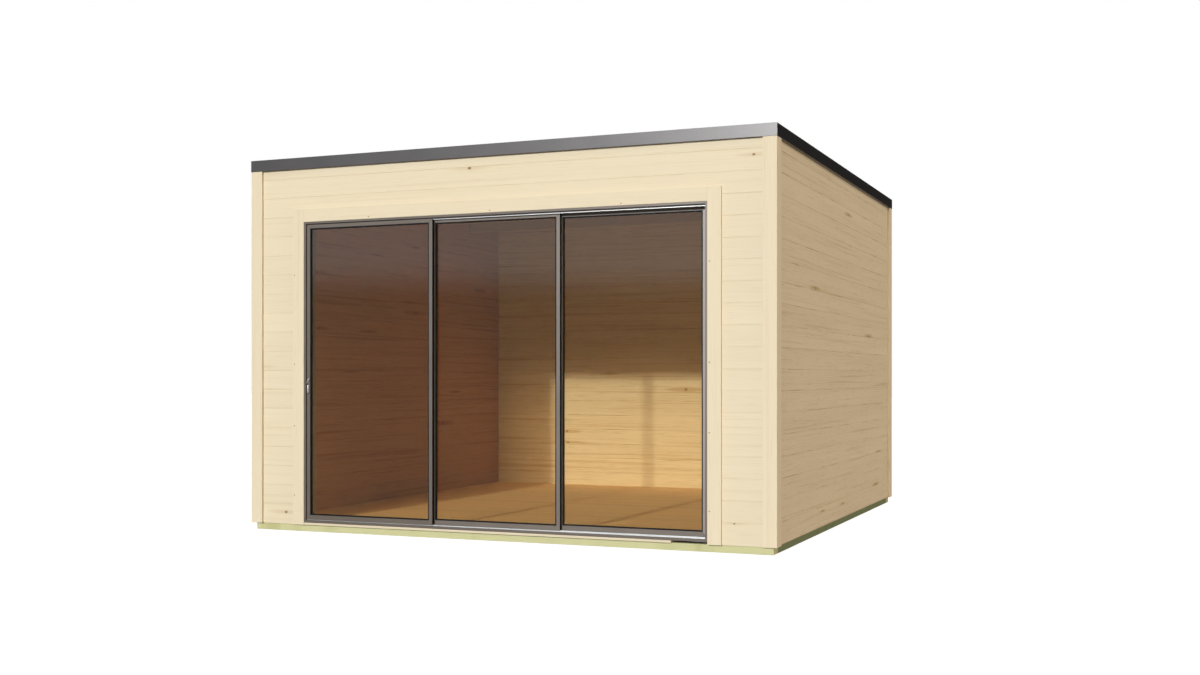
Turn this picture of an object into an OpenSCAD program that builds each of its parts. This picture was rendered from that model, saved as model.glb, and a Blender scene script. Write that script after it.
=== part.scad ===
// Flat-roofed annex cabin of interlocking wall logs, with a three-panel sliding glass door in the front wall.
// X runs along the front, Y from the front to the back and Z up. The origin is on the ground, under the centre.

/* [Walls] */
// Width over the outer faces of the side walls
wall_w = 3600; // [3300:10:4800]
// Depth over the outer faces of the front and back walls
wall_d = 3600; // [2400:10:4800]
// Height from the ground to the top of the roof edge
cabin_h = 2480; // [2440:5:2800]
// Thickness of the wall logs
log_t = 44; // [36:1:70]
// Height of one log course
course_h = 127.5; // [100:0.5:160]
// Height of the lowest course
first_course_h = 133; // [100:1:160]
// Width of the V-shaped joint between two courses
joint_w = 4; // [2:0.5:8]
// Depth of the V-shaped joint
joint_d = 2; // [1:0.5:4]

/* [Base and floor] */
// Height of the bearers that lie on the ground
bearer_h = 45; // [35:1:80]
// Width of a bearer
bearer_w = 95; // [75:1:140]
// Distance of the bearers behind the walls' outer faces
bearer_in = 8; // [0:1:25]
// Number of joists between the side bearers
joist_n = 5; // [3:1:7]
// Width of a joist
joist_w = 45; // [35:1:70]
// Thickness of the floor
floor_t = 19; // [15:1:28]

/* [Trim boards] */
// Thickness of the corner, casing and roof edge boards
board_t = 18; // [15:1:24]
// Width of a corner board
corner_w = 85; // [60:1:110]
// Width of a door casing board
casing_w = 85; // [60:1:110]

/* [Roof] */
// Height of the metal trim on the roof edge
trim_h = 75; // [75:1:110]
// Thickness of the metal trim
trim_t = 2; // [1:0.5:3]
// Width of the trim's top flange
trim_flange = 40; // [25:1:80]
// Width of the return under the trim
trim_return = 16; // [8:1:18]
// Drop from the underside of the flange to the roof covering at the front
roof_drop = 8; // [2:1:12]
// Fall of the roof from the front to the back
roof_fall = 40; // [0:1:40]
// Thickness of the roof covering
cover_t = 2; // [1:0.5:4]
// Thickness of the roof deck
deck_t = 18; // [12:1:18]
// Number of purlins
purlin_n = 5; // [3:1:7]
// Width of a purlin
purlin_w = 45; // [35:1:70]
// Height of a purlin
purlin_h = 120; // [80:1:160]
// Depth of the pocket in the wall that holds a purlin's end
purlin_seat = 24; // [15:1:30]
// Width of a drain slot in the back edge of the roof
drain_w = 120; // [60:5:200]
// Height of a drain slot
drain_h = 16; // [8:1:24]
// Distance of each drain slot from the middle
drain_x = 1100; // [400:10:1300]

/* [Door frame] */
// Distance from a side wall's outer face to the door frame
door_side = 400; // [300:5:600]
// Height from the door frame to the roof edge
door_over = 354; // [200:1:450]
// Width of the frame's front edge
frame_face = 14; // [10:1:20]
// Height of the frame's sill
sill_h = 17; // [12:1:24]
// Depth of the frame behind the back track
frame_more = 22; // [0:1:40]
// Distance of the frame behind the casing's face
frame_in = 4; // [1:1:10]
// Height of the timber strip under the frame
strip_h = 15; // [10:1:30]
// Length of the strip that is missing at its right end
strip_missing = 225; // [50:5:400]

/* [Door panels] */
// Thickness of a sliding panel
panel_t = 24; // [20:1:30]
// Space between two panels, and between a panel and the frame's front and back
panel_gap = 6; // [5:0.5:10]
// Clearance between a panel's edges and the frame
edge_gap = 5; // [5:0.5:8]
// Width of a stile
stile_w = 24; // [20:1:45]
// Width of the fixed panel's stile at the jamb
jamb_stile_w = 30; // [20:1:45]
// Height of a top rail
top_rail_h = 24; // [24:1:50]
// Height of a bottom rail
bottom_rail_h = 29; // [29:1:60]
// Extra width of the side panels over the middle one, on average
side_more = 56.5; // [0:0.5:100]
// Place of the middle panel's centre
middle_x = -7; // [-30:1:30]
// Overlap of the middle panel with its neighbours
overlap = 21; // [5:1:30]
// Thickness of the glass
glass_t = 8; // [6:1:10]
// Depth of the glass in the stiles and rails
glass_bite = 8; // [6:1:10]
// Clearance round the glass in its groove
glass_clear = 0.3; // [0.2:0.1:0.6]

/* [Running gear] */
// Width of a running rail on the sill
rail_w = 3; // [2:0.5:4]
// Height of a running rail
rail_h = 6; // [5:0.5:8]
// Width of a guide rib under the head
rib_w = 2; // [1:0.5:4]
// Height of a guide rib
rib_h = 12; // [8:1:12]
// Clearance between the rails and ribs and the panels' grooves
groove_clear = 5; // [5:0.5:6]
// Depth of the groove in a top rail
top_groove = 12; // [10:1:13]
// Depth of the groove in a bottom rail
bottom_groove = 18; // [18:0.5:18.5]
// Radius of a roller
roller_r = 7.5; // [6:0.5:7.5]
// Width of a roller's tread
roller_w = 8; // [4:0.5:9]
// Radius of a roller's hub
hub_r = 3.5; // [2.5:0.5:5]
// Distance of a roller from the end of its panel
roller_in = 120; // [60:5:200]
// Running clearance of the rollers
run_clear = 0.3; // [0.2:0.1:0.5]

/* [Handle] */
// Height of the handle's back plate
plate_h = 106; // [90:1:130]
// Width of the back plate
plate_w = 18; // [14:1:22]
// Thickness of the back plate
plate_t = 3; // [2:0.5:4]
// Height of the middle of the handle over the ground
handle_z = 965; // [900:1:1100]
// Length of the latch lever
lever_l = 36; // [30:1:40]
// Width of the latch lever
lever_w = 11; // [8:0.5:13]
// Tilt of the latch lever
lever_tilt = 30; // [0:1:35]
// Length of the finger grip
grip_l = 56; // [40:1:60]
// Width of the finger grip
grip_w = 14; // [10:0.5:16]
// Thickness of the lever and the grip in front of the plate
grip_t = 8; // [5:0.5:8]

/* [Fits] */
// Clearance where a sloped face rests on another piece
seat_clear = 0.3; // [0.2:0.1:0.5]

/* [Hidden] */
// Half sizes over the wall faces, the trim boards and the metal trim
half_w = wall_w / 2;
half_d = wall_d / 2;
room_w = half_w - log_t;
room_d = half_d - log_t;
edge_w = half_w + board_t + trim_t;
edge_d = half_d + board_t + trim_t;

// Levels of the roof edge and of the roof at the front
trim_z = cabin_h - trim_h;
flange_z = cabin_h - trim_t;
cover_z = flange_z - roof_drop;
deck_z = cover_z - cover_t;
ceiling_z = deck_z - deck_t;

// Door frame and its opening in the front wall
frame_x = half_w - door_side;
frame_z = bearer_h + strip_h;
frame_top = trim_z - door_over;
frame_d = 3 * panel_t + 4 * panel_gap + frame_more;
frame_y = -half_d - board_t + frame_in;
clear_x = frame_x - frame_face;
sill_top = frame_z + sill_h;
head_under = frame_top - frame_face;
casing_top = frame_top + casing_w;

// Panels: track, counted from the front, left and right edge, and width of the left and right stile
panel_x = clear_x - edge_gap;
panel_z = sill_top + edge_gap;
panel_top = head_under - edge_gap;
middle_w = (2 * panel_x + 2 * overlap - 2 * side_more) / 3;
middle_left = middle_x - middle_w / 2;
middle_right = middle_x + middle_w / 2;
LEFT = [0, -panel_x, middle_left + overlap, stile_w, stile_w];
MIDDLE = [1, middle_left, middle_right, stile_w, stile_w];
RIGHT = [2, middle_right - overlap, panel_x, stile_w, jamb_stile_w];
rail_top = sill_top + rail_h;
round_sides = 48;
past = 1;

// Underside of the roof deck at a distance y from the centre
function ceiling_at(y) = ceiling_z - roof_fall * (y + half_d) / wall_d;

// Centre line of a track
function track_y(track) = frame_y + panel_gap + panel_t / 2 + track * (panel_t + panel_gap);

// Middle of purlin k and the level of its top, rounded down to a tenth of a millimetre
function purlin_y(k) = -half_d + wall_d * (k + 1) / (purlin_n + 1);
function purlin_top(k) = floor(10 * (ceiling_at(purlin_y(k) + purlin_w / 2) - seat_clear)) / 10;

// Heights of the joints between courses, from z0 to z1
function joints(z0, z1) = [
    for (z = [bearer_h + first_course_h : course_h : z1 - joint_w])
        if (z > z0 + joint_w) z
];

// A box from one corner to the opposite one
module block(from, to) {
    translate(from)
        cube(to - from);
}

// A shape drawn in X and Z, pushed from y0 to y1
module push_y(y0, y1) {
    translate([0, y1, 0])
        rotate([90, 0, 0])
            linear_extrude(y1 - y0)
                children();
}

// A shape drawn in Y and Z, pushed from x0 to x1
module push_x(x0, x1) {
    translate([x0, 0, 0])
        rotate([90, 0, 90])
            linear_extrude(x1 - x0)
                children();
}

// Both the piece and its mirror image across the front-to-back plane
module left_and_right() {
    children();
    mirror([1, 0, 0])
        children();
}

// Section through stacked logs: a wall from the face at 0 to log_t, with a V-joint on both faces of each course
module log_section(z0, z1) {
    seams = joints(z0, z1);
    outer = [for (z = seams) each [[0, z - joint_w / 2], [joint_d, z], [0, z + joint_w / 2]]];
    inner = [for (z = seams) each [[log_t, z - joint_w / 2], [log_t - joint_d, z], [log_t, z + joint_w / 2]]];
    down = [for (k = [len(inner) - 1 : -1 : 0]) inner[k]];
    polygon(concat([[0, z0]], outer, [[0, z1], [log_t, z1]], down, [[log_t, z0]]));
}

module front_bearer() {
    color("#ccc692")
        block([-half_w + bearer_in, -half_d + bearer_in, 0],
              [half_w - bearer_in, -half_d + bearer_in + bearer_w, bearer_h]);
}

module back_bearer() {
    mirror([0, 1, 0])
        front_bearer();
}

// Clear depth between the front and back bearers
module between_bearers(x0, x1) {
    reach = half_d - bearer_in - bearer_w;
    block([x0, -reach, 0], [x1, reach, bearer_h]);
}

module side_bearers() {
    color("#ccc692")
        left_and_right()
            between_bearers(half_w - bearer_in - bearer_w, half_w - bearer_in);
}

module floor_joists() {
    span = wall_w - 2 * (bearer_in + bearer_w);
    color("#c2bd88")
        for (k = [1 : joist_n])
            translate([k * span / (joist_n + 1) - span / 2, 0, 0])
                between_bearers(-joist_w / 2, joist_w / 2);
}

// The floor fills the room and stops behind the door frame
module floor_deck() {
    frame_back = frame_y + frame_d;
    color("#b98f62")
        difference() {
            block([-room_w, -room_d, bearer_h], [room_w, room_d, bearer_h + floor_t]);
            block([-frame_x, -room_d - past, bearer_h - past], [frame_x, frame_back, bearer_h + floor_t + past]);
        }
}

// A side wall runs the full depth. Its top follows the roof, and pockets inside hold the purlins' ends.
module right_wall() {
    color("#ecdcbe")
        difference() {
            intersection() {
                translate([half_w, 0, 0])
                    mirror([1, 0, 0])
                        push_y(-half_d, half_d)
                            log_section(bearer_h, ceiling_z);
                push_x(room_w - past, half_w + past)
                    polygon([
                        [-half_d, bearer_h],
                        [half_d, bearer_h],
                        [half_d, ceiling_at(half_d) - seat_clear],
                        [-half_d, ceiling_at(-half_d) - seat_clear]
                    ]);
            }
            for (k = [0 : purlin_n - 1])
                block([room_w - past, purlin_y(k) - purlin_w / 2, purlin_top(k) - purlin_h],
                      [room_w + purlin_seat, purlin_y(k) + purlin_w / 2, ceiling_z + past]);
        }
}

module left_wall() {
    mirror([1, 0, 0])
        right_wall();
}

// A stretch of the front wall, between the side walls
module front_wall_piece(x0, x1, z0) {
    color("#ecdcbe")
        push_x(x0, x1)
            translate([-half_d, 0])
                log_section(z0, ceiling_at(-room_d) - seat_clear);
}

module front_wall_left() {
    front_wall_piece(-room_w, -frame_x, bearer_h);
}

module front_wall_right() {
    front_wall_piece(frame_x, room_w, bearer_h);
}

module front_wall_top() {
    front_wall_piece(-frame_x, frame_x, frame_top);
}

module back_wall() {
    color("#ecdcbe")
        push_x(-room_w, room_w)
            translate([room_d, 0])
                log_section(bearer_h, ceiling_at(half_d) - seat_clear);
}

// Corner boards: those on the front and back cover the edges of those on the sides
module front_corner_boards() {
    color("#ecdcbe")
        left_and_right()
            block([half_w + board_t - corner_w, -half_d - board_t, bearer_h], [half_w + board_t, -half_d, trim_z]);
}

module back_corner_boards() {
    mirror([0, 1, 0])
        front_corner_boards();
}

module right_corner_boards() {
    color("#ecdcbe")
        for (side = [0, 1])
            mirror([0, side, 0])
                block([half_w, -half_d, bearer_h], [half_w + board_t, -half_d + corner_w, trim_z]);
}

module left_corner_boards() {
    mirror([1, 0, 0])
        right_corner_boards();
}

module door_casing_sides() {
    color("#ecdcbe")
        left_and_right()
            block([frame_x, -half_d - board_t, bearer_h], [frame_x + casing_w, -half_d, casing_top]);
}

module door_casing_head() {
    color("#ecdcbe")
        block([-frame_x, -half_d - board_t, frame_top], [frame_x, -half_d, casing_top]);
}

// Packing strip under the door frame, short of the right jamb
module door_sill_strip() {
    color("#ecdcbe")
        block([-frame_x, frame_y, bearer_h], [frame_x - strip_missing, frame_y + frame_d, frame_z]);
}

module roof_purlins() {
    color("#dcc49c")
        for (k = [0 : purlin_n - 1])
            block([-room_w - purlin_seat, purlin_y(k) - purlin_w / 2, purlin_top(k) - purlin_h],
                  [room_w + purlin_seat, purlin_y(k) + purlin_w / 2, purlin_top(k)]);
}

// A flat layer of the roof that falls to the back
module roof_layer(under, thick) {
    push_x(-half_w, half_w)
        polygon([
            [-half_d, under],
            [half_d, under - roof_fall],
            [half_d, under - roof_fall + thick],
            [-half_d, under + thick]
        ]);
}

module roof_deck() {
    color("#d8bf95")
        roof_layer(ceiling_z, deck_t);
}

module roof_cover() {
    color("#3a3a3b")
        roof_layer(deck_z, cover_t);
}

// Slots that let water off the low side of the roof, level with its covering
module drain_slots() {
    low = cover_z - roof_fall;
    left_and_right()
        block([drain_x - drain_w / 2, half_d - past, low], [drain_x + drain_w / 2, edge_d + past, low + drain_h]);
}

// Timber boards on the wall tops that carry the metal trim
module roof_edge_boards() {
    low = trim_z + trim_t;
    color("#d8bf95")
        difference() {
            union() {
                for (side = [0, 1])
                    mirror([0, side, 0])
                        block([-half_w - board_t, -half_d - board_t, low], [half_w + board_t, -half_d, flange_z]);
                left_and_right()
                    block([half_w, -half_d + seat_clear, low], [half_w + board_t, half_d - seat_clear, flange_z]);
            }
            drain_slots();
        }
}

// Folded metal trim along the side at y = -reach: flange, face and return, mitred at both ends
module edge_trim(half, reach) {
    intersection() {
        push_x(-half, half)
            polygon([
                [-reach, trim_z],
                [-reach + trim_return, trim_z],
                [-reach + trim_return, trim_z + trim_t],
                [-reach + trim_t, trim_z + trim_t],
                [-reach + trim_t, flange_z],
                [-reach + trim_flange, flange_z],
                [-reach + trim_flange, cabin_h],
                [-reach, cabin_h]
            ]);
        translate([0, 0, trim_z - past])
            linear_extrude(trim_h + 2 * past)
                polygon([
                    [-half, -reach],
                    [half, -reach],
                    [half - trim_flange, -reach + trim_flange],
                    [-half + trim_flange, -reach + trim_flange]
                ]);
    }
}

module front_roof_trim() {
    color("#575654")
        edge_trim(edge_w, edge_d);
}

module back_roof_trim() {
    color("#575654")
        difference() {
            mirror([0, 1, 0])
                edge_trim(edge_w, edge_d);
            drain_slots();
        }
}

module right_roof_trim() {
    color("#575654")
        rotate([0, 0, 90])
            edge_trim(edge_d, edge_w);
}

module left_roof_trim() {
    mirror([1, 0, 0])
        right_roof_trim();
}

// Door frame: four members, mitred at the corners. The head has a guide rib and the sill a running rail per track.
module door_frame_head() {
    color("#6b655d")
        union() {
            push_y(frame_y, frame_y + frame_d)
                polygon([
                    [-frame_x, frame_top],
                    [frame_x, frame_top],
                    [clear_x, head_under],
                    [-clear_x, head_under]
                ]);
            for (track = [0 : 2])
                block([-clear_x, track_y(track) - rib_w / 2, head_under - rib_h],
                      [clear_x, track_y(track) + rib_w / 2, head_under + past]);
        }
}

module door_frame_sill() {
    color("#6b655d")
        union() {
            push_y(frame_y, frame_y + frame_d)
                polygon([
                    [-frame_x, frame_z],
                    [frame_x, frame_z],
                    [clear_x, sill_top],
                    [-clear_x, sill_top]
                ]);
            for (track = [0 : 2])
                block([-clear_x, track_y(track) - rail_w / 2, sill_top - past],
                      [clear_x, track_y(track) + rail_w / 2, rail_top]);
        }
}

module door_frame_right_jamb() {
    color("#6b655d")
        push_y(frame_y, frame_y + frame_d)
            polygon([
                [frame_x, frame_z],
                [frame_x, frame_top],
                [clear_x, head_under],
                [clear_x, sill_top]
            ]);
}

module door_frame_left_jamb() {
    mirror([1, 0, 0])
        door_frame_right_jamb();
}

// Grooves of one panel: for the glass, for the guide rib above and for the running rail below
module panel_grooves(panel) {
    y = track_y(panel[0]);
    glass_y = glass_t / 2 + glass_clear;
    rib_y = rib_w / 2 + groove_clear;
    rail_y = rail_w / 2 + groove_clear;
    block([panel[1] + panel[3] - glass_bite, y - glass_y, panel_z + bottom_rail_h - glass_bite],
          [panel[2] - panel[4] + glass_bite, y + glass_y, panel_top - top_rail_h + glass_bite]);
    block([panel[1] - past, y - rib_y, panel_top - top_groove], [panel[2] + past, y + rib_y, panel_top + past]);
    block([panel[1] - past, y - rail_y, panel_z - past], [panel[2] + past, y + rail_y, panel_z + bottom_groove]);
}

// Both stiles of a panel, mitred against its rails
module panel_stiles(panel) {
    y = track_y(panel[0]);
    color("#6b655d")
        difference() {
            push_y(y - panel_t / 2, y + panel_t / 2)
                for (edge = [[panel[1], panel[3]], [panel[2], -panel[4]]])
                    polygon([
                        [edge[0], panel_z],
                        [edge[0], panel_top],
                        [edge[0] + edge[1], panel_top - top_rail_h],
                        [edge[0] + edge[1], panel_z + bottom_rail_h]
                    ]);
            panel_grooves(panel);
        }
}

// Top and bottom rails of a panel
module panel_rails(panel) {
    y = track_y(panel[0]);
    color("#6b655d")
        difference() {
            push_y(y - panel_t / 2, y + panel_t / 2)
                for (edge = [[panel_z, bottom_rail_h], [panel_top, -top_rail_h]])
                    polygon([
                        [panel[1], edge[0]],
                        [panel[2], edge[0]],
                        [panel[2] - panel[4], edge[0] + edge[1]],
                        [panel[1] + panel[3], edge[0] + edge[1]]
                    ]);
            panel_grooves(panel);
        }
}

module panel_glass(panel) {
    y = track_y(panel[0]);
    edge = glass_clear - glass_bite;
    color("#6d5f53", 0.4)
        block([panel[1] + panel[3] + edge, y - glass_t / 2, panel_z + bottom_rail_h + edge],
              [panel[2] - panel[4] - edge, y + glass_t / 2, panel_top - top_rail_h - edge]);
}

// Two rollers on the running rail, with hubs that fill the groove in the bottom rail
module panel_rollers(panel) {
    hub_half = rail_w / 2 + groove_clear - run_clear;
    color("#2b2b2b")
        for (x = [panel[1] + roller_in, panel[2] - roller_in])
            translate([x, track_y(panel[0]), rail_top + run_clear + roller_r])
                rotate([90, 0, 0])
                    rotate_extrude($fn = round_sides)
                        polygon([
                            [0, -hub_half],
                            [hub_r, -hub_half],
                            [hub_r, -roller_w / 2],
                            [roller_r, -roller_w / 2],
                            [roller_r, roller_w / 2],
                            [hub_r, roller_w / 2],
                            [hub_r, hub_half],
                            [0, hub_half]
                        ]);
}

// A bar with round ends, drawn in X and Z
module round_bar(wide, high) {
    square([wide, high - wide], center = true);
    for (end = [-1, 1])
        translate([0, end * (high - wide) / 2])
            circle(wide / 2, $fn = round_sides);
}

// Back plate on the left stile, with a tilted latch lever above an upright finger grip
module door_handle() {
    face_y = track_y(0) - panel_t / 2;
    color("#c9c8c6")
        translate([LEFT[1] + stile_w / 2, 0, handle_z])
            union() {
                push_y(face_y - plate_t, face_y)
                    round_bar(plate_w, plate_h);
                push_y(face_y - plate_t - grip_t, face_y - plate_t + past)
                    translate([0, plate_h / 2 - lever_l / 2 - plate_t])
                        rotate(-lever_tilt)
                            round_bar(lever_w, lever_l);
                push_y(face_y - plate_t - grip_t, face_y - plate_t + past)
                    translate([0, grip_l / 2 - plate_h / 2 + plate_t])
                        round_bar(grip_w, grip_l);
            }
}

front_bearer();
back_bearer();
side_bearers();
floor_joists();
floor_deck();
left_wall();
right_wall();
back_wall();
front_wall_left();
front_wall_right();
front_wall_top();
front_corner_boards();
back_corner_boards();
left_corner_boards();
right_corner_boards();
door_casing_sides();
door_casing_head();
door_sill_strip();
roof_purlins();
roof_deck();
roof_cover();
roof_edge_boards();
front_roof_trim();
back_roof_trim();
left_roof_trim();
right_roof_trim();
door_frame_head();
door_frame_sill();
door_frame_left_jamb();
door_frame_right_jamb();
panel_stiles(LEFT);  // left_panel_stiles
panel_rails(LEFT);  // left_panel_rails
panel_glass(LEFT);  // left_panel_glass
panel_rollers(LEFT);  // left_panel_rollers
door_handle();
panel_stiles(MIDDLE);  // middle_panel_stiles
panel_rails(MIDDLE);  // middle_panel_rails
panel_glass(MIDDLE);  // middle_panel_glass
panel_rollers(MIDDLE);  // middle_panel_rollers
panel_stiles(RIGHT);  // right_panel_stiles
panel_rails(RIGHT);  // right_panel_rails
panel_glass(RIGHT);  // right_panel_glass
panel_rollers(RIGHT);  // right_panel_rollers
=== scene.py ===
import math

import bmesh
import bpy
from mathutils import Matrix, Vector


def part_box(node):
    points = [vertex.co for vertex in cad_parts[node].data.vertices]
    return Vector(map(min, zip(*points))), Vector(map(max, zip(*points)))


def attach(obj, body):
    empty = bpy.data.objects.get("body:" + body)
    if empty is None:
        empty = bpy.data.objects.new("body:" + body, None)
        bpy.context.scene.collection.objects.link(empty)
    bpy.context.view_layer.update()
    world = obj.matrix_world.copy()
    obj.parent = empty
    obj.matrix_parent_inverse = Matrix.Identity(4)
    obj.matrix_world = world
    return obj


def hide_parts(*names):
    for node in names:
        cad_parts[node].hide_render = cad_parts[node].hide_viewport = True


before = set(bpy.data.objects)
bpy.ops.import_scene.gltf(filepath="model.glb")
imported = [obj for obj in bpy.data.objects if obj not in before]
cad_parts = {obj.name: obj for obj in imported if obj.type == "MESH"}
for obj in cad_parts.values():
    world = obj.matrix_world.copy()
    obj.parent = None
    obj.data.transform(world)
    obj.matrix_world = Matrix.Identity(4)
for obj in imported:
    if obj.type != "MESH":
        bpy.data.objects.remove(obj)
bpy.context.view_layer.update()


# Bearers and joists. A square of pressure-treated timber lies flat on the ground, with five joists from the
# front bearer to the back one to carry the floor. The treatment leaves the pale sapwood green, and sawing
# leaves it rough; the side bearers and the joists are a darker green, which is painted shade.
def paint(code):
    """Linear colour of a six-figure colour code."""
    parts = [int(code[k:k + 2], 16) / 255 for k in (1, 3, 5)]
    return [p / 12.92 if p <= 0.04045 else ((p + 0.055) / 1.055) ** 2.4 for p in parts] + [1.0]


def feed(tree, value, socket):
    """Links a node's output to a socket, or sets a plain value on it."""
    if isinstance(value, bpy.types.NodeSocket):
        tree.links.new(value, socket)
    else:
        socket.default_value = value


def math_node(tree, operation, a, b=0.0, c=0.0):
    made = tree.nodes.new("ShaderNodeMath")
    made.operation = operation
    for k, value in enumerate((a, b, c)):
        feed(tree, value, made.inputs[k])
    return made.outputs[0]


def times(tree, a, b):
    return math_node(tree, "MULTIPLY", a, b)


def times_plus(tree, a, b, c):
    return math_node(tree, "MULTIPLY_ADD", a, b, c)


def minus(tree, a, b):
    return math_node(tree, "SUBTRACT", a, b)


def over(tree, a, b):
    return math_node(tree, "DIVIDE", a, b)


def ramp(tree, value, start, end, low=0.0, high=1.0):
    """A smooth step of a value: low up to start, high from end."""
    made = tree.nodes.new("ShaderNodeMapRange")
    made.interpolation_type = "SMOOTHSTEP"
    labels = ("Value", "From Min", "From Max", "To Min", "To Max")
    for label, given in zip(labels, (value, start, end, low, high)):
        feed(tree, given, made.inputs[label])
    return made.outputs[0]


def blend_colours(tree, share, a, b, way="MIX"):
    made = tree.nodes.new("ShaderNodeMix")
    made.data_type = "RGBA"
    made.blend_type = way
    feed(tree, share, made.inputs[0])
    feed(tree, a, made.inputs[6])
    feed(tree, b, made.inputs[7])
    return made.outputs[2]


def joined(tree, x, y, z=0.0):
    made = tree.nodes.new("ShaderNodeCombineXYZ")
    for k, value in enumerate((x, y, z)):
        feed(tree, value, made.inputs[k])
    return made.outputs[0]


def split(tree, vector):
    made = tree.nodes.new("ShaderNodeSeparateXYZ")
    feed(tree, vector, made.inputs[0])
    return made.outputs


def cloud(tree, vector, detail=2.0, scale=1.0, roughness=0.5):
    made = tree.nodes.new("ShaderNodeTexNoise")
    made.inputs["Scale"].default_value = scale
    made.inputs["Detail"].default_value = detail
    made.inputs["Roughness"].default_value = roughness
    feed(tree, vector, made.inputs["Vector"])
    return made.outputs[0]


def start_group(name, inputs, outputs):
    """A new node group, with its inputs and outputs by name."""
    tree = bpy.data.node_groups.new(name, "ShaderNodeTree")
    for label, kind, value in inputs:
        made = tree.interface.new_socket(name=label, in_out="INPUT", socket_type=kind)
        made.default_value = value
    for label, kind in outputs:
        tree.interface.new_socket(name=label, in_out="OUTPUT", socket_type=kind)
    return tree, tree.nodes.new("NodeGroupInput").outputs, tree.nodes.new("NodeGroupOutput").inputs


def make_sawn_timber():
    """Softwood boards side by side: rings, streaks and fibres along each, grimy joints, knots in a halo."""
    number, colour, white = "NodeSocketFloat", "NodeSocketColor", (1, 1, 1, 1)
    inputs = [
        ("Along", number, 0.0), ("Across", number, 0.0), ("Board", number, 0.1), ("Start", number, 0.0),
        ("Seed", number, 0.0), ("Pale", colour, white), ("Ring", colour, white), ("Knot", colour, white),
        ("Contrast", number, 1.0), ("Knots", number, 0.4), ("Tone", number, 0.1), ("Seam", number, 0.0),
    ]
    outputs = [("Color", colour), ("Roughness", number), ("Height", number)]
    tree, given, out = start_group("sawn_timber", inputs, outputs)

    place = over(tree, minus(tree, given["Across"], given["Start"]), given["Board"])
    chance = tree.nodes.new("ShaderNodeTexWhiteNoise")
    chance.noise_dimensions = "2D"
    feed(tree, joined(tree, math_node(tree, "FLOOR", place), given["Seed"]), chance.inputs["Vector"])
    lots = split(tree, chance.outputs["Color"])
    most_along, most_across, most_deep = 13.7, 5.1, 9.0
    along = times_plus(tree, lots[0], most_along, given["Along"])
    across = times_plus(tree, lots[1], most_across, given["Across"])
    depth = times(tree, lots[2], most_deep)

    def drawn_out(length, width, detail):
        """Noise with so many lumps a metre along the board and across it."""
        where = joined(tree, times(tree, along, length), times(tree, across, width), depth)
        return cloud(tree, where, detail, roughness=0.55)

    ring_angle, ring_sway = 620.0, 46.0
    turn = times_plus(tree, drawn_out(1.1, 9.0, 2.0), ring_sway, times(tree, across, ring_angle))
    wave = times_plus(tree, math_node(tree, "SINE", turn), 0.5, 0.5)
    ring_patches = ramp(tree, drawn_out(0.8, 15.0, 2.0), 0.35, 0.65)
    rings = times(tree, math_node(tree, "POWER", wave, 2.0), ring_patches)
    streaks = ramp(tree, drawn_out(0.55, 46.0, 4.0), 0.52, 0.74)
    fibres = drawn_out(11.0, 420.0, 2.0)
    dashes = ramp(tree, drawn_out(5.0, 260.0, 2.0), 0.60, 0.70)

    share = math_node(tree, "FRACT", place)
    to_edge = math_node(tree, "MINIMUM", share, minus(tree, 1.0, share))
    to_joint = times(tree, to_edge, given["Board"])
    grime_patches = ramp(tree, drawn_out(2.6, 1.0, 3.0), 0.53, 0.66)
    grime = times(tree, ramp(tree, to_joint, 0.0012, 0.004, 1.0, 0.0), grime_patches)
    gaps = ramp(tree, to_joint, 0.0013, 0.0019, 1.0, 0.0)

    knot_apart = 0.62
    cells = tree.nodes.new("ShaderNodeTexVoronoi")
    cells.voronoi_dimensions = "2D"
    cells.inputs["Scale"].default_value = 1.0
    at = joined(tree, over(tree, along, knot_apart), over(tree, across, given["Board"]))
    feed(tree, at, cells.inputs["Vector"])
    here = split(tree, at)
    centre = split(tree, cells.outputs["Position"])
    kind = split(tree, cells.outputs["Color"])
    off_along = times(tree, minus(tree, here[0], centre[0]), knot_apart)
    off_across = times(tree, minus(tree, here[1], centre[1]), given["Board"])
    shown = math_node(tree, "LESS_THAN", kind[0], given["Knots"])
    grown = ramp(tree, kind[1], 0.0, 1.0, 0.55, 1.25)

    def oval(half_length, half_width, inner):
        """A spot on each knot, full up to its inner share and fading from there."""
        x = over(tree, off_along, times(tree, grown, half_length))
        y = over(tree, off_across, times(tree, grown, half_width))
        far = math_node(tree, "SQRT", times_plus(tree, x, x, times(tree, y, y)))
        return times(tree, ramp(tree, far, inner, 1.0, 1.0, 0.0), shown)

    knots = oval(0.015, 0.011, 0.5)
    halos = oval(0.20, 0.022, 0.0)
    dark = times(tree, rings, 0.20)
    for mark, weight in ((streaks, 0.34), (fibres, 0.20), (dashes, 0.40), (grime, 0.90), (halos, 0.80)):
        dark = times_plus(tree, mark, weight, dark)
    wood = blend_colours(tree, times(tree, dark, given["Contrast"]), given["Pale"], given["Ring"])
    wood = blend_colours(tree, times(tree, knots, 0.85), wood, given["Knot"])
    tone = times(tree, minus(tree, chance.outputs["Value"], 0.5), given["Tone"])
    shade = minus(tree, math_node(tree, "ADD", tone, 1.0), times(tree, gaps, given["Seam"]))
    wood = blend_colours(tree, 1.0, wood, joined(tree, shade, shade, shade), "MULTIPLY")
    feed(tree, wood, out["Color"])
    feed(tree, times_plus(tree, fibres, 0.22, 0.52), out["Roughness"])
    feed(tree, times_plus(tree, rings, 0.12, minus(tree, fibres, knots)), out["Height"])
    return tree


sawn_timber = make_sawn_timber()


def start_material(name):
    """A new material with its Principled shader."""
    made = bpy.data.materials.new(name)
    made.use_nodes = True
    return made, made.node_tree, made.node_tree.nodes["Principled BSDF"]


def object_vector(tree):
    return tree.nodes.new("ShaderNodeTexCoord").outputs["Object"]


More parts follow.
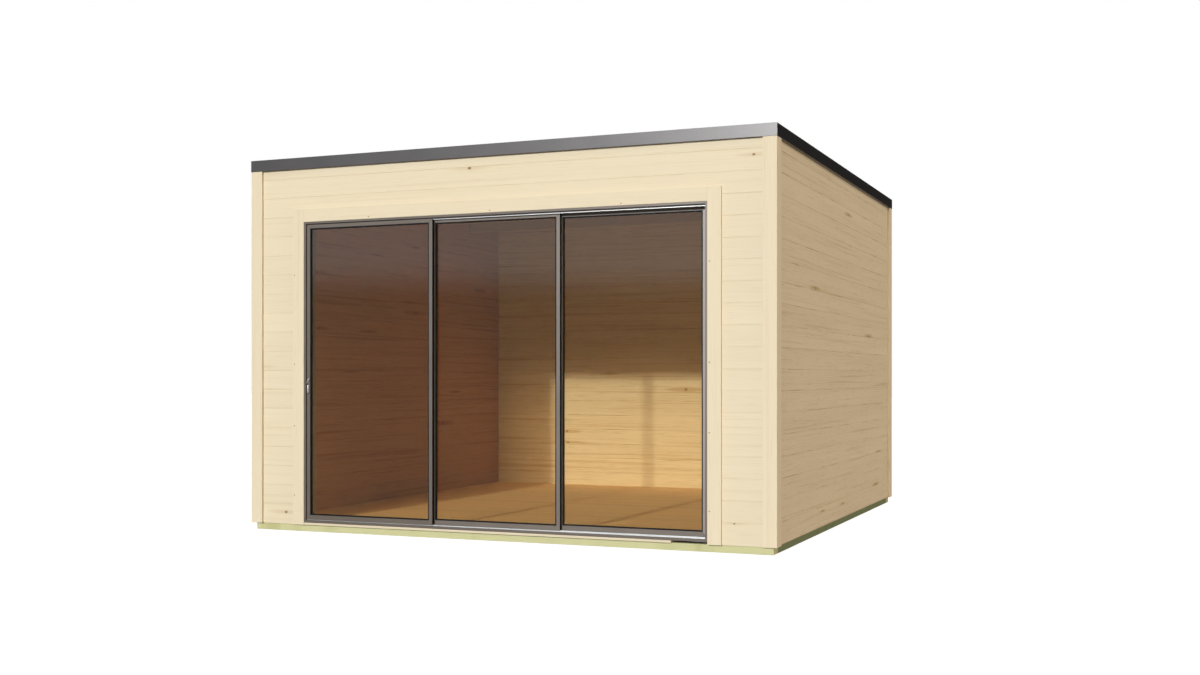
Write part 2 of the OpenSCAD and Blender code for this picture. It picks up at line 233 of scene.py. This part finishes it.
def object_place(tree):
    return split(tree, object_vector(tree))


def emboss(tree, shader, height, depth):
    made = tree.nodes.new("ShaderNodeBump")
    made.inputs["Strength"].default_value = 1.0
    made.inputs["Distance"].default_value = depth
    feed(tree, height, made.inputs["Height"])
    tree.links.new(made.outputs["Normal"], shader.inputs["Normal"])


def timber(name, along, across, board, start, pale, ring, knot, contrast=1.0, knots=0.4, tone=0.1, seed=0.0,
           relief=0.00025, seam=0.0):
    """Boards of sawn timber whose length and width follow two axes of the object."""
    made, tree, shader = start_material(name)
    place = object_place(tree)
    grain = tree.nodes.new("ShaderNodeGroup")
    grain.node_tree = sawn_timber
    feed(tree, place["XYZ".index(along)], grain.inputs["Along"])
    feed(tree, place["XYZ".index(across)], grain.inputs["Across"])
    values = dict(Board=board, Start=start, Seed=seed, Pale=paint(pale), Ring=paint(ring), Knot=paint(knot),
                  Contrast=contrast, Knots=knots, Tone=tone, Seam=seam)
    for label, value in values.items():
        grain.inputs[label].default_value = value
    feed(tree, grain.outputs["Color"], shader.inputs["Base Color"])
    feed(tree, grain.outputs["Roughness"], shader.inputs["Roughness"])
    shader.inputs["Specular IOR Level"].default_value = 0.25
    emboss(tree, shader, grain.outputs["Height"], relief)
    return made


def round_over(made, edges, ease, segments):
    """Bevels edges with a round profile."""
    bmesh.ops.bevel(made, geom=list(edges), offset=ease, offset_type="OFFSET", affect="EDGES",
                    segments=segments, profile=0.5, material=-1, clamp_overlap=True)


def settle(name, made, material, body="cabin", slot=None, *stands_for):
    """Makes a finished mesh a piece that rides on a body."""
    mesh = bpy.data.meshes.new(name)
    made.to_mesh(mesh)
    made.free()
    mesh.materials.append(material)
    piece = bpy.data.objects.new(name, mesh)
    bpy.context.scene.collection.objects.link(piece)
    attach(piece, body)
    if stands_for:
        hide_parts(*stands_for)
    return piece


def eased(node, ease, material, body="cabin", slot=None):
    """Stands for a CAD solid: the same shape with its sharp edges eased by that radius."""
    made = bmesh.new()
    made.from_mesh(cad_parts[node].data)
    bmesh.ops.remove_doubles(made, verts=made.verts, dist=0.00002)
    bmesh.ops.dissolve_limit(made, angle_limit=math.radians(1), verts=made.verts, edges=made.edges)
    sharp = [e for e in made.edges if len(e.link_faces) == 2 and e.calc_face_angle(0) > math.radians(25)]
    round_over(made, sharp, ease, 2)
    bmesh.ops.dissolve_degenerate(made, dist=0.00001, edges=made.edges)
    return settle(node + "_eased", made, material, body, slot, node)


BEARER_W, BEARER_EASE = 0.095, 0.002
treated = dict(board=BEARER_W, start=0.0, knot="#7d6a3e", knots=0.25, relief=0.0008)
treated_x = timber("treated_timber_x", "X", "Y", pale="#c9c79a", ring="#a9a671", seed=3.0, **treated)
# The darker green of the side bearers and joists is painted shade.
treated_y_painted_shade = timber("treated_timber_y_painted_shade", "Y", "X", pale="#828d6a", ring="#5b6847", seed=5.0, **treated)
for node in ("front_bearer", "back_bearer"):
    eased(node, BEARER_EASE, treated_x, slot="treated_timber")
for node in ("side_bearers", "floor_joists"):
    eased(node, BEARER_EASE, treated_y_painted_shade, slot="treated_timber")


# Floor. Planed softwood boards with eased top edges, tongued together and nailed across the joists. The row
# along the front is cut short behind the door frame, and the ends of neighbouring rows are staggered.
def plank(made, low, high):
    """Adds a box between two corners to a mesh and returns its vertices."""
    found = bmesh.ops.create_cube(made, size=1.0)["verts"]
    size = [b - a for a, b in zip(low, high)]
    bmesh.ops.scale(made, verts=found, vec=size)
    bmesh.ops.translate(made, verts=found, vec=[(a + b) / 2 for a, b in zip(low, high)])
    return found


def ease_where(made, found, ease, test, segments=1):
    """Bevels the edges of some vertices whose middle passes a test."""
    edges = {e for v in found for e in v.link_edges if test((e.verts[0].co + e.verts[1].co) / 2)}
    round_over(made, edges, ease, segments)


floor_low, floor_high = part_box("floor_deck")
frame_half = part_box("door_frame_sill")[1].x
frame_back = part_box("door_frame_sill")[1].y
ROW, BOARD_SEAM, BOARD_EASE = 0.118, 0.0006, 0.001
FIRST_END, END_STEP = 1.1, 0.56
NARROWEST_ROW = 0.01
boards = bmesh.new()
row_y, row = floor_low.y, 0
while row_y < floor_high.y - NARROWEST_ROW:
    row_end = min(row_y + ROW, floor_high.y)
    cut = floor_low.x + FIRST_END + END_STEP * (row * 3 % 4)
    runs = [(floor_low.x, cut, row_y), (cut, floor_high.x, row_y)]
    if row == 0:
        runs = [(floor_low.x, -frame_half, row_y), (-frame_half, frame_half, frame_back),
                (frame_half, floor_high.x, row_y)]
    for left, right, front in runs:
        low = left + BOARD_SEAM / 2, front + BOARD_SEAM / 2, floor_low.z
        high = right - BOARD_SEAM / 2, row_end - BOARD_SEAM / 2, floor_high.z
        found = plank(boards, low, high)
        ease_where(boards, found, BOARD_EASE, lambda p: p.z > floor_high.z - BOARD_EASE, 2)
    row_y, row = row_end, row + 1
floor_wood = timber("floor_boards", "X", "Y", ROW, floor_low.y, pale="#ffd594", ring="#fac07e",
                    knot="#7d5230", contrast=0.55, knots=0.12, tone=0.10, seed=11.0, seam=0.75)
settle("floor_boards", boards, floor_wood, "cabin", "floor_boards", "floor_deck")


# Wall logs. Planed spruce logs stack with a tongue and groove, and a fine V shows at each joint, inside and
# out. Sun has bleached the outside, while the wood inside keeps its warmer colour and a stronger grain. On
# the left wall the inner face is tinted much darker, which is painted shade; on the back wall it is tinted
# lighter, which is painted light.
COURSE, FIRST_JOINT = 0.1275, 0.178
LOG_MIDDLE = 1.778
spruce = dict(pale="#e1d4b9", ring="#c2aa80", knot="#8a5f38")


def log_wall(name, along, seed, contrast, contrast_inside=1.3, inner=(0.95, 0.89, 0.78, 1.0)):
    """Logs along one axis, with their own tint and strength of grain on the inner face."""
    made = timber(name, along, "Z", COURSE, FIRST_JOINT, **spruce, contrast=contrast, knots=0.07, tone=0.035,
                  seed=seed)
    tree = made.node_tree
    colour = tree.nodes["Principled BSDF"].inputs["Base Color"]
    place = object_place(tree)
    from_middle = [math_node(tree, "ABSOLUTE", place[k]) for k in (0, 1)]
    inside = math_node(tree, "LESS_THAN", math_node(tree, "MAXIMUM", *from_middle), LOG_MIDDLE)
    outside_colour = colour.links[0].from_socket
    strength = times_plus(tree, inside, contrast_inside - contrast, contrast)
    feed(tree, strength, outside_colour.node.inputs["Contrast"])
    warm = blend_colours(tree, 1.0, outside_colour, inner, "MULTIPLY")
    feed(tree, blend_colours(tree, inside, outside_colour, warm), colour)
    return made


front_logs = log_wall("wall_logs_x", "X", 1.0, 0.48)
right_logs = log_wall("wall_logs_y", "Y", 2.0, 1.25)
# The back wall's lighter inner tint is painted light.
back_logs_painted_light = log_wall("wall_logs_back_painted_light", "X", 7.0, 0.48, 2.1, (1.06, 1.0, 0.88, 1.0))
# The left wall's dark red-brown inner tint is painted shade.
left_logs_painted_shade = log_wall("wall_logs_left_painted_shade", "Y", 9.0, 1.25, 2.4, (0.71, 0.39, 0.24, 1.0))


def dress(node, material):
    """Gives a CAD solid its material."""
    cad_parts[node].data.materials.clear()
    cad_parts[node].data.materials.append(material)


for node in ("front_wall_left", "front_wall_right", "front_wall_top"):
    dress(node, front_logs)
dress("back_wall", back_logs_painted_light)
dress("right_wall", right_logs)
dress("left_wall", left_logs_painted_shade)


# Corner boards, door casing and the packing strip under the door frame. Planed spruce boards with eased
# edges, nailed over the ends of the logs and screwed round the door. The strip's right end is missing.
planed = dict(spruce, board=0.33, start=0.0, contrast=0.55, knots=0.05, tone=0.04)
boards_front = timber("trim_boards_front", "Z", "X", seed=21.0, **planed)
boards_side = timber("trim_boards_side", "Z", "Y", seed=23.0, **planed)
boards_head = timber("trim_boards_head", "X", "Z", seed=25.0, **planed)
TRIM_EASE = 0.0015
for node in ("front_corner_boards", "back_corner_boards", "door_casing_sides"):
    eased(node, TRIM_EASE, boards_front, slot="trim_boards")
for node in ("left_corner_boards", "right_corner_boards"):
    eased(node, TRIM_EASE, boards_side, slot="trim_boards")
for node in ("door_casing_head", "door_sill_strip"):
    eased(node, TRIM_EASE, boards_head, slot="trim_boards")


def plated_steel():
    """Yellow-brown zinc plating with fine specks."""
    made, tree, shader = start_material("plated_steel")
    speck = cloud(tree, object_vector(tree), 3.0, 700.0)
    feed(tree, blend_colours(tree, speck, paint("#7d5c36"), paint("#a98655")), shader.inputs["Base Color"])
    feed(tree, ramp(tree, speck, 0.3, 0.7, 0.35, 0.55), shader.inputs["Roughness"])
    shader.inputs["Metallic"].default_value = 0.5
    return made


SCREW_R, SCREW_TOP_R, SCREW_SET, SCREW_PROUD = 0.0042, 0.003612, 0.0015, 0.0009
SOCKET_R, SOCKET_D = 0.0019, 0.0006
SCREW_IN = 0.013
SIDE_SCREWS_Z = 0.24, 0.70, 1.11, 1.70
HEAD_SCREWS_X = -0.90, -0.02, 0.86
casing_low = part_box("door_casing_sides")[0]
head_low, head_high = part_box("door_casing_head")
screw_spots = [(x + SCREW_IN, z) for x in (casing_low.x, head_high.x) for z in SIDE_SCREWS_Z]
screw_spots += [(x, head_low.z + SCREW_IN) for x in HEAD_SCREWS_X]
screw_h = SCREW_SET + SCREW_PROUD
screw_y = casing_low.y - SCREW_PROUD + screw_h / 2
screws = bmesh.new()
for x, z in screw_spots:
    before = len(screws.verts)
    found = bmesh.ops.create_cone(screws, cap_ends=True, cap_tris=False, segments=24, radius1=SCREW_R,
                                  radius2=SCREW_TOP_R, depth=screw_h)["verts"]
    top = max({f for v in found for f in v.link_faces}, key=lambda f: f.calc_center_median().z)
    bmesh.ops.inset_individual(screws, faces=[top], thickness=SCREW_TOP_R - SOCKET_R, use_even_offset=True)
    sunk = bmesh.ops.extrude_discrete_faces(screws, faces=[top])["faces"]
    bmesh.ops.translate(screws, verts=sunk[0].verts[:], vec=(0, 0, -SOCKET_D))
    screws.verts.ensure_lookup_table()
    spot = Matrix.Translation((x, screw_y, z)) @ Matrix.Rotation(math.radians(90), 4, "X")
    bmesh.ops.transform(screws, matrix=spot, verts=screws.verts[before:])
settle("casing_screws", screws, plated_steel(), "cabin", "handle_metal")


# Roof timber. Five purlins sit in pockets in the side walls and carry matched boards, whose V-joints show
# from inside. Boards on the wall tops form the roof edge.
roof_wood = dict(start=0.0, pale="#bfa27a", ring="#a07f58", knot="#6a4a30", contrast=0.9, knots=0.4)
MATCHED, MATCHED_T, MATCHED_V = 0.12, 0.018, 0.003
ROOF_FALL = 0.040
purlin_wood = timber("purlins", "X", "Z", board=0.5, tone=0.1, seed=31.0, **roof_wood)
ceiling_wood = timber("ceiling_boards", "Y", "X", board=MATCHED, tone=0.14, seed=33.0, **roof_wood)
edge_wood = timber("roof_edge_boards", "X", "Z", board=0.5, tone=0.1, seed=35.0, **roof_wood)
eased("roof_purlins", 0.003, purlin_wood, slot="roof_timber")
eased("roof_edge_boards", 0.001, edge_wood, slot="roof_timber")
deck_low, deck_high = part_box("roof_deck")
deck_under = deck_high.z - MATCHED_T
deck = bmesh.new()
for k in range(round((deck_high.x - deck_low.x) / MATCHED)):
    left = deck_low.x + MATCHED * k
    low = left + BOARD_SEAM / 2, deck_low.y, deck_under
    high = left + MATCHED - BOARD_SEAM / 2, deck_high.y, deck_high.z
    found = plank(deck, low, high)
    ease_where(deck, found, MATCHED_V, lambda p: p.z < deck_under + 0.001 and abs(p.y) < deck_high.y / 2)
slope = Matrix.Identity(4)
slope[2][1] = -ROOF_FALL / (deck_high.y - deck_low.y)
slope[2][3] = slope[2][1] * -deck_low.y
bmesh.ops.transform(deck, matrix=slope, verts=deck.verts)
settle("ceiling_boards", deck, ceiling_wood, "cabin", "roof_timber", "roof_deck")


# Roof covering. Mineral-faced felt in metre-wide strips, each lapped over the one below it so that water runs
# to the back edge.
def roof_felt():
    """Grey mineral grit on black felt, with broad stains."""
    made, tree, shader = start_material("roof_felt")
    place = object_vector(tree)
    grit = cloud(tree, place, 2.0, 420.0)
    stain = cloud(tree, place, 5.0, 1.7)
    base = blend_colours(tree, ramp(tree, grit, 0.40, 0.62), paint("#2c2d2f"), paint("#4d4e50"))
    worn = blend_colours(tree, ramp(tree, stain, 0.45, 0.75), base, paint("#484744"))
    feed(tree, worn, shader.inputs["Base Color"])
    feed(tree, ramp(tree, grit, 0.3, 0.7, 0.95, 0.75), shader.inputs["Roughness"])
    emboss(tree, shader, grit, 0.0012)
    return made


felt = roof_felt()
dress("roof_cover", felt)
cover_low, cover_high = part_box("roof_cover")
STRIP, LAPS = 0.9, 3
LAP, LAP_T, LAP_SINK, LAP_EASE, LAP_IN = 0.10, 0.0022, 0.001, 0.0012, 0.025
laps = bmesh.new()
for k in range(1, LAPS + 1):
    y = cover_low.y + STRIP * k
    top = cover_high.z + slope[2][1] * (y - cover_low.y)
    low = cover_low.x + LAP_IN, y - LAP, top - LAP_SINK
    high = cover_high.x - LAP_IN, y, top + LAP_T
    found = plank(laps, low, high)
    ease_where(laps, found, LAP_EASE, lambda p: p.z > top + LAP_T / 2, 2)
settle("roof_felt_laps", laps, felt, "cabin", "roof_cover")


# Roof edge trim. Folded steel sheet, coated in anthracite, hooked under the edge boards and mitred at the
# corners.
def coated_metal(name, colour, worn, roughness, level, ior):
    """Powder coat with a fine orange peel, dulled here and there by dust."""
    made, tree, shader = start_material(name)
    place = object_vector(tree)
    peel = cloud(tree, place, 1.0, 900.0)
    dust = cloud(tree, place, 6.0, 4.0)
    share = ramp(tree, dust, 0.35, 0.8, 0.0, 0.35)
    feed(tree, blend_colours(tree, share, paint(colour), paint(worn)), shader.inputs["Base Color"])
    feed(tree, times_plus(tree, dust, 0.08, roughness - 0.04), shader.inputs["Roughness"])
    shader.inputs["Specular IOR Level"].default_value = level
    shader.inputs["Specular Tint"].default_value = (1.0, 0.93, 0.89, 1.0)
    shader.inputs["IOR"].default_value = ior
    emboss(tree, shader, peel, 0.00004)
    return made


trim_metal = coated_metal("roof_trim", "#1f1f22", "#2a292b", roughness=0.36, level=1.0, ior=1.72)
SHEET_EASE = 0.0007
for node in ("front_roof_trim", "back_roof_trim", "left_roof_trim", "right_roof_trim"):
    eased(node, SHEET_EASE, trim_metal, slot="roof_trim")


# Door frame. Four shallow aluminium profiles, mitred at the corners, powder coated in grey. The guide ribs
# under the head and the running rails on the sill are left bare.
door_coat = dict(roughness=0.38, level=0.9, ior=1.6)
door_grey = coated_metal("door_aluminium", "#60574e", "#6b6157", **door_coat)


def drawn_metal(name, dull, bright, stretch, detail, smooth, rough, relief):
    """Bare metal with the fine lines of drawing or brushing, stretched by axis."""
    made, tree, shader = start_material(name)
    place = object_place(tree)
    where = joined(tree, *[times(tree, place[k], stretch[k]) for k in range(3)])
    lines = cloud(tree, where, detail, roughness=0.55)
    feed(tree, blend_colours(tree, lines, paint(dull), paint(bright)), shader.inputs["Base Color"])
    feed(tree, ramp(tree, lines, 0.3, 0.7, smooth, rough), shader.inputs["Roughness"])
    shader.inputs["Metallic"].default_value = 1.0
    emboss(tree, shader, lines, relief)
    return made


bare = drawn_metal("bare_aluminium", "#dadad8", "#f0f0ee", stretch=(3.0, 900.0, 900.0), detail=3.0,
                   smooth=0.36, rough=0.5, relief=0.00006)


def add_bare_tracks(piece, level, under):
    """Cuts a profile at a level and gives what lies past it the bare metal."""
    cut = bmesh.new()
    cut.from_mesh(piece.data)
    whole = cut.verts[:] + cut.edges[:] + cut.faces[:]
    bmesh.ops.bisect_plane(cut, geom=whole, plane_co=(0, 0, level), plane_no=(0, 0, 1))
    cut.to_mesh(piece.data)
    cut.free()
    piece.data.materials.append(bare)
    for face in piece.data.polygons:
        past = face.center.z < level if under else face.center.z > level
        if past:
            face.material_index = 1


FRAME_EASE = 0.0008
HEAD_RIB, SILL_RAIL = 0.0038, 0.0057
head = eased("door_frame_head", FRAME_EASE, door_grey, slot="door_aluminium")
sill = eased("door_frame_sill", FRAME_EASE, door_grey, slot="door_aluminium")
add_bare_tracks(head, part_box("door_frame_head")[0].z + HEAD_RIB, True)
add_bare_tracks(sill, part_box("door_frame_sill")[1].z - SILL_RAIL, False)
for node in ("door_frame_left_jamb", "door_frame_right_jamb"):
    eased(node, FRAME_EASE, door_grey, slot="door_aluminium")


# Door panels. Slim mitred profiles hold bronze-tinted glass between black rubber gaskets, and black pile
# seals close the gap where two panels meet; their black also stands for the shade in that gap, painted shade.
# All three stand on nylon rollers. The coat is painted paler on each panel further right: painted light that
# stands for the sun's highlight growing to the right and for brighter shade on the stiles.
def black_rubber(name, colour, roughness):
    """Matt black with a faint bloom."""
    made, tree, shader = start_material(name)
    bloom = cloud(tree, object_vector(tree), 4.0, 35.0)
    feed(tree, blend_colours(tree, bloom, paint(colour), paint("#1c1c1c")), shader.inputs["Base Color"])
    feed(tree, ramp(tree, bloom, 0.3, 0.7, roughness - 0.08, roughness + 0.08), shader.inputs["Roughness"])
    shader.inputs["Specular IOR Level"].default_value = 0.2
    return made


def bronze_glass():
    """Clear float glass with a bronze tint that drifts a little over the sheet."""
    made, tree, shader = start_material("bronze_glass")
    melt = cloud(tree, object_vector(tree), 2.0, 1.3)
    tint = blend_colours(tree, melt, (0.85, 0.75, 0.54, 1), (0.87, 0.77, 0.56, 1))
    feed(tree, tint, shader.inputs["Base Color"])
    shader.inputs["Transmission Weight"].default_value = 1.0
    shader.inputs["Roughness"].default_value = 0.0
    shader.inputs["IOR"].default_value = 1.5
    return made


rubber = black_rubber("glazing_rubber", "#111111", 0.6)
# The pile seals are real weather-strip, but their near-black edge strip also stands for the shade in the gap:
# partly painted shade.
pile = black_rubber("seal_pile", "#0a0a0a", 0.9)
nylon = black_rubber("roller_nylon", "#262626", 0.45)
glass = bronze_glass()
# The paler coats of the middle and fixed panels are painted light.
middle_grey_painted_light = coated_metal("door_aluminium_middle_painted_light", "#6c635a", "#776d63", **door_coat)
fixed_grey_painted_light = coated_metal("door_aluminium_fixed_painted_light", "#93887e", "#9d9288", **door_coat)
BEAD, BEAD_T, BEAD_EASE, GLASS_BITE = 0.008, 0.0065, 0.0018, 0.0077


def glazing_bead(made, low, high, face, depth):
    """Adds a rubber bead round an opening, from a face of the glass outwards, and rounds its inner edge."""
    outline = (low.x, low.z), (high.x, low.z), (high.x, high.z), (low.x, high.z)
    sheet = made.faces.new([made.verts.new((x, face, z)) for x, z in outline])
    sheet.normal_update()
    rim = bmesh.ops.inset_individual(made, faces=[sheet], thickness=BEAD, use_even_offset=True)["faces"]
    bmesh.ops.delete(made, geom=[sheet], context="FACES_ONLY")
    raised = bmesh.ops.extrude_face_region(made, geom=rim, use_keep_orig=True)["geom"]
    tops = [v for v in raised if isinstance(v, bmesh.types.BMVert)]
    bmesh.ops.translate(made, verts=tops, vec=(0, depth, 0))
    bmesh.ops.recalc_face_normals(made, faces=made.faces)
    edges = {e for v in tops for e in v.link_edges if e.other_vert(v) in tops and len(e.link_faces) == 2}
    round_over(made, [e for e in edges if e.calc_face_angle(0) > 1.0], BEAD_EASE, 3)


panels = (
    ("left_panel", "left_panel", door_grey, door_grey),
    ("middle_panel", "middle_panel", middle_grey_painted_light, middle_grey_painted_light),
    ("right_panel", "cabin", fixed_grey_painted_light, middle_grey_painted_light),
)
for panel, body, stile_coat, rail_coat in panels:
    eased(panel + "_stiles", FRAME_EASE, stile_coat, body, "door_aluminium")
    eased(panel + "_rails", FRAME_EASE, rail_coat, body, "door_aluminium")
    dress(panel + "_glass", glass)
    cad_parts[panel + "_glass"].visible_shadow = False
    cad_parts[panel + "_glass"].visible_diffuse = False
    dress(panel + "_rollers", nylon)
    pane_low, pane_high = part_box(panel + "_glass")
    low = pane_low + Vector((GLASS_BITE, 0, GLASS_BITE))
    high = pane_high - Vector((GLASS_BITE, 0, GLASS_BITE))
    for label, face, depth in (("front", pane_low.y, -BEAD_T), ("back", pane_high.y, BEAD_T)):
        beads = bmesh.new()
        glazing_bead(beads, low, high, face, depth)
        settle(panel + "_gasket_" + label, beads, rubber, body, "roller_plastic")

SEAL_W, SEAL_T, SEAL_EASE = 0.018, 0.0015, 0.0006
BRUSH_W, BRUSH_T, BRUSH_EASE, BRUSH_IN = 0.007, 0.0048, 0.001, 0.007
SEAL_BITE, SEAL_SHORT = 0.0004, 0.004
# The black strip over each stile's right edge is partly painted shade.
for panel in ("left_panel", "middle_panel"):
    low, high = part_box(panel + "_stiles")
    foot, top = low.z + SEAL_SHORT, high.z - SEAL_SHORT
    middle = (low.y + high.y) / 2
    seal = bmesh.new()
    seal_low = high.x - SEAL_BITE, middle - SEAL_W / 2, foot
    seal_high = high.x + SEAL_T, middle + SEAL_W / 2, top
    edge = plank(seal, seal_low, seal_high)
    ease_where(seal, edge, SEAL_EASE, lambda p: p.x > high.x)
    brush_x = high.x - BRUSH_IN
    brush = plank(seal, (brush_x - BRUSH_W, high.y - SEAL_BITE, foot), (brush_x, high.y + BRUSH_T, top))
    ease_where(seal, brush, BRUSH_EASE, lambda p: p.y > high.y + BRUSH_T / 2, 2)
    settle(panel + "_pile_seal", seal, pile, panel, "roller_plastic")


# Handle. A grey back plate screwed on the left stile from behind carries a slanted latch lever over an
# upright finger grip, both of bright brushed steel.
def round_bar(made, centre, tilt, wide, long, front, back, crown):
    """Adds an upright bar with round ends, drawn in X and Z and standing between two depths."""
    circle = bmesh.ops.create_circle(made, cap_ends=True, cap_tris=False, segments=32, radius=wide / 2)
    found = circle["verts"]
    for v in found:
        v.co.y += math.copysign((long - wide) / 2, v.co.y) if abs(v.co.y) > 1e-6 else 0.0
    face = found[0].link_faces[0]
    raised = bmesh.ops.extrude_face_region(made, geom=[face], use_keep_orig=True)["geom"]
    tops = [v for v in raised if isinstance(v, bmesh.types.BMVert)]
    bmesh.ops.translate(made, verts=tops, vec=(0, 0, back - front))
    whole = found + tops
    upright = Matrix.Rotation(tilt, 4, "Y") @ Matrix.Rotation(math.radians(90), 4, "X")
    place = Matrix.Translation((centre[0], back, centre[1]))
    bmesh.ops.transform(made, matrix=place @ upright, verts=whole)
    bmesh.ops.recalc_face_normals(made, faces=list({f for v in whole for f in v.link_faces}))
    edges = {e for v in whole for e in v.link_edges if all(abs(end.co.y - front) < 1e-6 for end in e.verts)}
    round_over(made, edges, crown, 4)


handle_low, handle_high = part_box("door_handle")
STILE_W = 0.024
PLATE_W, PLATE_H, PLATE_T, PLATE_CROWN = 0.018, 0.106, 0.003, 0.001
LEVER_W, LEVER_H, LEVER_UP, LEVER_TILT, LEVER_CROWN = 0.011, 0.036, 0.032, math.radians(30), 0.003
GRIP_W, GRIP_H, GRIP_DOWN, GRIP_CROWN = 0.014, 0.056, 0.022, 0.004
handle_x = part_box("left_panel_stiles")[0].x + STILE_W / 2
plate_z = (handle_low.z + handle_high.z) / 2
plate_back, bar_front = handle_high.y, handle_low.y
plate_front = plate_back - PLATE_T
steel = drawn_metal("brushed_steel", "#d6d5d3", "#f2f1ef", stretch=(2600.0, 2600.0, 60.0), detail=2.0,
                    smooth=0.26, rough=0.4, relief=0.00003)
handle = bmesh.new()
round_bar(handle, (handle_x, plate_z), 0.0, PLATE_W, PLATE_H, plate_front, plate_back, PLATE_CROWN)
lever_at = handle_x, plate_z + LEVER_UP
round_bar(handle, lever_at, LEVER_TILT, LEVER_W, LEVER_H, bar_front, plate_front, LEVER_CROWN)
grip_at = handle_x, plate_z - GRIP_DOWN
round_bar(handle, grip_at, 0.0, GRIP_W, GRIP_H, bar_front, plate_front, GRIP_CROWN)
handle_piece = settle("door_handle_lever_and_grip", handle, steel, "left_panel", "handle_metal",
                      "door_handle")
handle_mesh = handle_piece.data
handle_mesh.polygons.foreach_set("use_smooth", [True] * len(handle_mesh.polygons))
handle_mesh.set_sharp_from_angle(angle=math.radians(32))
handle_mesh.materials.append(door_grey)
for face in handle_mesh.polygons:
    face.material_index = 1 if face.center.y > plate_front - 0.0001 else 0


# Camera, light and floor. The camera stands level at eye height, to the right of the front. A low, cool key
# light and a softer, warm one beside it come from the front, with a warm fill from the right and a weaker one
# from behind, over a plain pale floor.
EYE, TURN, FOCAL_PX, HORIZON = Vector((3.8111, -9.3015, 1.0208)), 22.414, 1343.9, 377.55
FRAME_PX = 1200, 675
SENSOR = 36.0
camera_data = bpy.data.cameras.new("camera")
camera_data.sensor_width = SENSOR
camera_data.lens = FOCAL_PX * SENSOR / FRAME_PX[0]
camera_data.shift_y = (HORIZON - FRAME_PX[1] / 2) / FRAME_PX[0]
camera = bpy.data.objects.new("camera", camera_data)
camera.location = EYE
camera.rotation_euler = math.radians(90), 0, math.radians(TURN)
bpy.context.scene.collection.objects.link(camera)
bpy.context.scene.camera = camera


def far_light(name, travels, strength, colour, spread):
    """A sun lamp whose light travels that way, spread over so many degrees."""
    lamp = bpy.data.lights.new(name, "SUN")
    lamp.energy = strength
    lamp.color = colour
    lamp.angle = math.radians(spread)
    made = bpy.data.objects.new(name, lamp)
    made.rotation_euler = Vector(travels).to_track_quat("-Z", "Y").to_euler()
    bpy.context.scene.collection.objects.link(made)
    return made


far_light("key", (0.042, 0.963, -0.266), 2.19, (0.838, 0.921, 1.0), 2.0)
far_light("soft_key", (-0.07, 0.955, -0.29), 0.99, (1.0, 0.845, 0.66), 12)
far_light("fill", (-0.9, -0.05, -0.35), 1.72, (1.0, 0.85, 0.71), 60).visible_glossy = False
far_light("back", (0.5, -0.82, -0.28), 1.5, (1.0, 0.97, 0.93), 30).visible_glossy = False


def seen_directly(tree, path):
    """1 for the camera's own rays, through glass too."""
    return math_node(tree, "MAXIMUM", path.outputs["Is Camera Ray"], path.outputs["Is Transmission Ray"])


WHITE = 1, 1, 1, 1
AROUND, AROUND_MIRRORED, BAND_MIRRORED = (0.20, 0.19, 0.17, 1), (0.03, 0.03, 0.03, 1), (0.90, 0.955, 1.02, 1)
world = bpy.data.worlds.new("studio")
bpy.context.scene.world = world
world.use_nodes = True
sky = world.node_tree
background = sky.nodes["Background"]
sky_path = sky.nodes.new("ShaderNodeLightPath")
way = split(sky, sky.nodes.new("ShaderNodeTexCoord").outputs["Generated"])
band = times(sky, ramp(sky, way[2], 0.056, 0.088), ramp(sky, way[2], 0.14, 0.20, 1.0, 0.15))
front_band = times(sky, band, ramp(sky, way[1], 0.0, -0.4))
mirrored = blend_colours(sky, front_band, AROUND_MIRRORED, BAND_MIRRORED)
around = blend_colours(sky, sky_path.outputs["Is Glossy Ray"], AROUND, mirrored)
feed(sky, blend_colours(sky, seen_directly(sky, sky_path), around, WHITE), background.inputs["Color"])
background.inputs["Strength"].default_value = 1.0

FLOOR_HALF, FLOOR_DROP, FLOOR_GLOW = 60.0, 0.0005, 0.87
FLOOR_SHADE, FLOOR_MIRRORED = (0.35, 0.35, 0.35, 1), (0.09, 0.09, 0.09, 1)
floor_mesh = bmesh.new()
bmesh.ops.create_grid(floor_mesh, x_segments=1, y_segments=1, size=FLOOR_HALF)
bmesh.ops.translate(floor_mesh, verts=floor_mesh.verts, vec=(0, 0, -FLOOR_DROP))
ground = bpy.data.meshes.new("studio_floor")
floor_mesh.to_mesh(ground)
floor_mesh.free()
studio_floor = bpy.data.objects.new("studio_floor", ground)
bpy.context.scene.collection.objects.link(studio_floor)
floor_finish, floor_tree, floor_shader = start_material("studio_floor")
floor_shader.inputs["Roughness"].default_value = 1.0
floor_shader.inputs["Specular IOR Level"].default_value = 0.0
floor_shader.inputs["Emission Color"].default_value = WHITE
floor_path = floor_tree.nodes.new("ShaderNodeLightPath")
floor_shade = blend_colours(floor_tree, floor_path.outputs["Is Glossy Ray"], FLOOR_SHADE, FLOOR_MIRRORED)
feed(floor_tree, floor_shade, floor_shader.inputs["Base Color"])
floor_glow = times(floor_tree, seen_directly(floor_tree, floor_path), FLOOR_GLOW)
feed(floor_tree, floor_glow, floor_shader.inputs["Emission Strength"])
ground.materials.append(floor_finish)

bpy.context.scene.view_settings.view_transform = "Standard"
